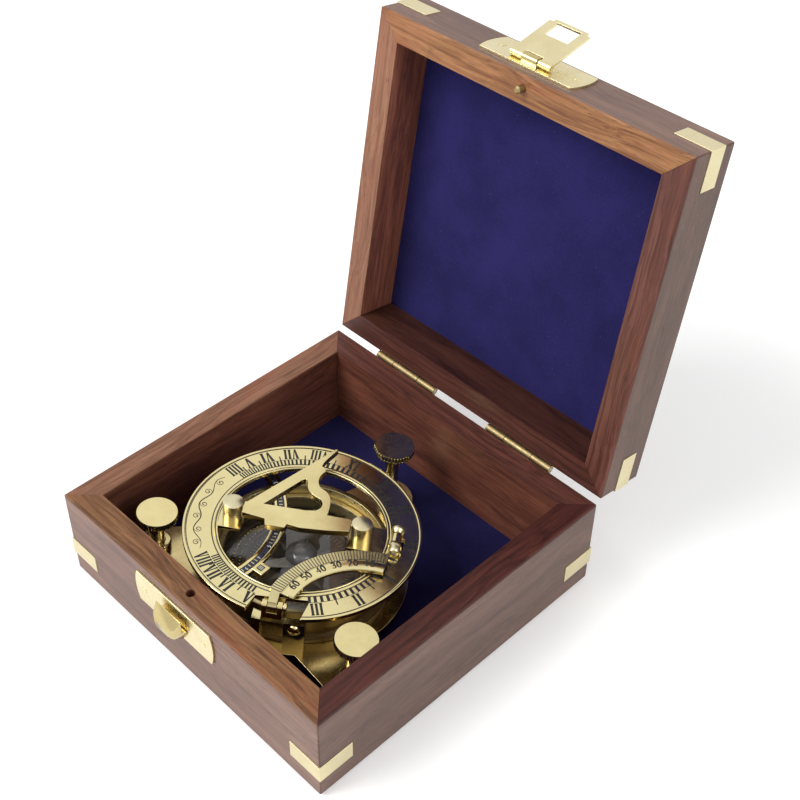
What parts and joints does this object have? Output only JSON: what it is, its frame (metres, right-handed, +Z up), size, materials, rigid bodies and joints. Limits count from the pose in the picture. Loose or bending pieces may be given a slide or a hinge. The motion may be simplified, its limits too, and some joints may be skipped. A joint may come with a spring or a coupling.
{
  "type": "boxed sundial compass",
  "caption": "Folding brass sundial and compass on levelling screws, lying in a felt-lined hardwood case with a hinged lid, inlaid corners and a hasp.",
  "frame": {"origin": "centre of the case's underside, on the surface it stands on", "axes": "+Z up; -Y towards the front, where the latch is; +Y towards the hinges; +X to the right seen from the front"},
  "size_m": [0.1244, 0.1752, 0.1638],
  "materials": {
    "case_wood": "oiled reddish hardwood",
    "board_wood": "oiled reddish hardwood",
    "felt": "dark blue felt",
    "inlay_brass": "polished, let into the wood",
    "fitting_brass": "pressed sheet, lacquered",
    "steel": "plain",
    "instrument_brass": "polished",
    "screw_brass": "polished, knurled edge",
    "dial_plate": "satin, engraved and filled black",
    "arc_plate": "satin, engraved and filled black",
    "scale_blue": "dark blue with white marks",
    "card": "printed card on metal",
    "needle_white": "white",
    "clear_glass": "clear"
  },
  "bodies": {
    "case": {"wall_front": "case_wood", "wall_back": "case_wood", "wall_left": "case_wood", "wall_right": "case_wood", "floor_board": "board_wood", "base_felt": "felt", "base_inlay": "inlay_brass", "catch_plate": "fitting_brass", "catch_dome": "fitting_brass", "catch_rivets": "fitting_brass", "base_hinge_leaves": "fitting_brass", "base_hinge_screws": "fitting_brass"},
    "lid": {"lid_front": "case_wood", "lid_back": "case_wood", "lid_left": "case_wood", "lid_right": "case_wood", "lid_board": "board_wood", "lid_felt": "felt", "lid_inlay": "inlay_brass", "lid_peg": "fitting_brass", "latch_plate": "fitting_brass", "latch_rivets": "fitting_brass", "lid_hinge_leaves": "fitting_brass", "hinge_pins": "steel", "lid_hinge_screws": "fitting_brass", "hasp_pin": "steel"},
    "latch": {"hasp": "fitting_brass"},
    "instrument": {"base_plate": "instrument_brass", "drum": "instrument_brass", "compass_card": "card", "pivot": "steel", "glass": "clear_glass", "bezel": "instrument_brass", "ring_bracket": "instrument_brass", "ring_hinge_pin": "steel", "arc_clamp": "instrument_brass", "arc_clamp_screw": "instrument_brass", "cross_scale": "scale_blue", "cross_pillars": "instrument_brass", "cross_slider": "instrument_brass"},
    "compass_needle": {"needle": "needle_white"},
    "dial": {"hour_ring": "dial_plate", "ring_barrels": "instrument_brass", "gnomon_posts": "instrument_brass", "arc_fork": "instrument_brass", "arc_pin": "instrument_brass"},
    "gnomon": {"gnomon": "instrument_brass"},
    "arc": {"latitude_arc": "arc_plate"},
    "screw_back": {"level_screw_back": "screw_brass"},
    "screw_left": {"level_screw_left": "screw_brass"},
    "screw_right": {"level_screw_right": "screw_brass"}
  },
  "joints": [
    {"name": "lid_hinge", "type": "hinge", "parent": "case", "child": "lid", "pos_m": [0, 0.06215, 0.0368], "axis": [-1, 0, 0], "range_deg": [-99.4, 0]},
    {"name": "latch_swing", "type": "hinge", "parent": "lid", "child": "latch", "pos_m": [-0.0042, 0.08985, 0.15942], "axis": [-1, 0, 0], "range_deg": [-160, 0]},
    {"name": "instrument_lift", "type": "slide", "parent": "case", "child": "instrument", "axis": [0, 0, 1], "range_m": [0, 0.06]},
    {"name": "needle_spin", "type": "hinge", "parent": "instrument", "child": "compass_needle", "pos_m": [-0.00048, -0.01319, 0.01551], "axis": [0.0341, 0.0802, 0.9962], "continuous": true},
    {"name": "ring_tilt", "type": "hinge", "parent": "instrument", "child": "dial", "pos_m": [0.02445, 0.00652, 0.03124], "axis": [-0.6026, 0.7969, -0.0436], "range_deg": [0, 60]},
    {"name": "gnomon_fold", "type": "hinge", "parent": "dial", "child": "gnomon", "pos_m": [0.00024, -0.01148, 0.03673], "axis": [0.7973, 0.5988, -0.0755], "range_deg": [0, 90]},
    {"name": "arc_fold", "type": "hinge", "parent": "dial", "child": "arc", "pos_m": [0.01872, -0.04072, 0.03363], "axis": [0.7973, 0.5988, -0.0755], "range_deg": [0, 90]},
    {"name": "level_back", "type": "slide", "parent": "instrument", "child": "screw_back", "axis": [0.0341, 0.0802, 0.9962], "range_m": [0, 0.0018]},
    {"name": "level_left", "type": "slide", "parent": "instrument", "child": "screw_left", "axis": [0.0341, 0.0802, 0.9962], "range_m": [0, 0.009]},
    {"name": "level_right", "type": "slide", "parent": "instrument", "child": "screw_right", "axis": [0.0341, 0.0802, 0.9962], "range_m": [0, 0.0055]}
  ]
}
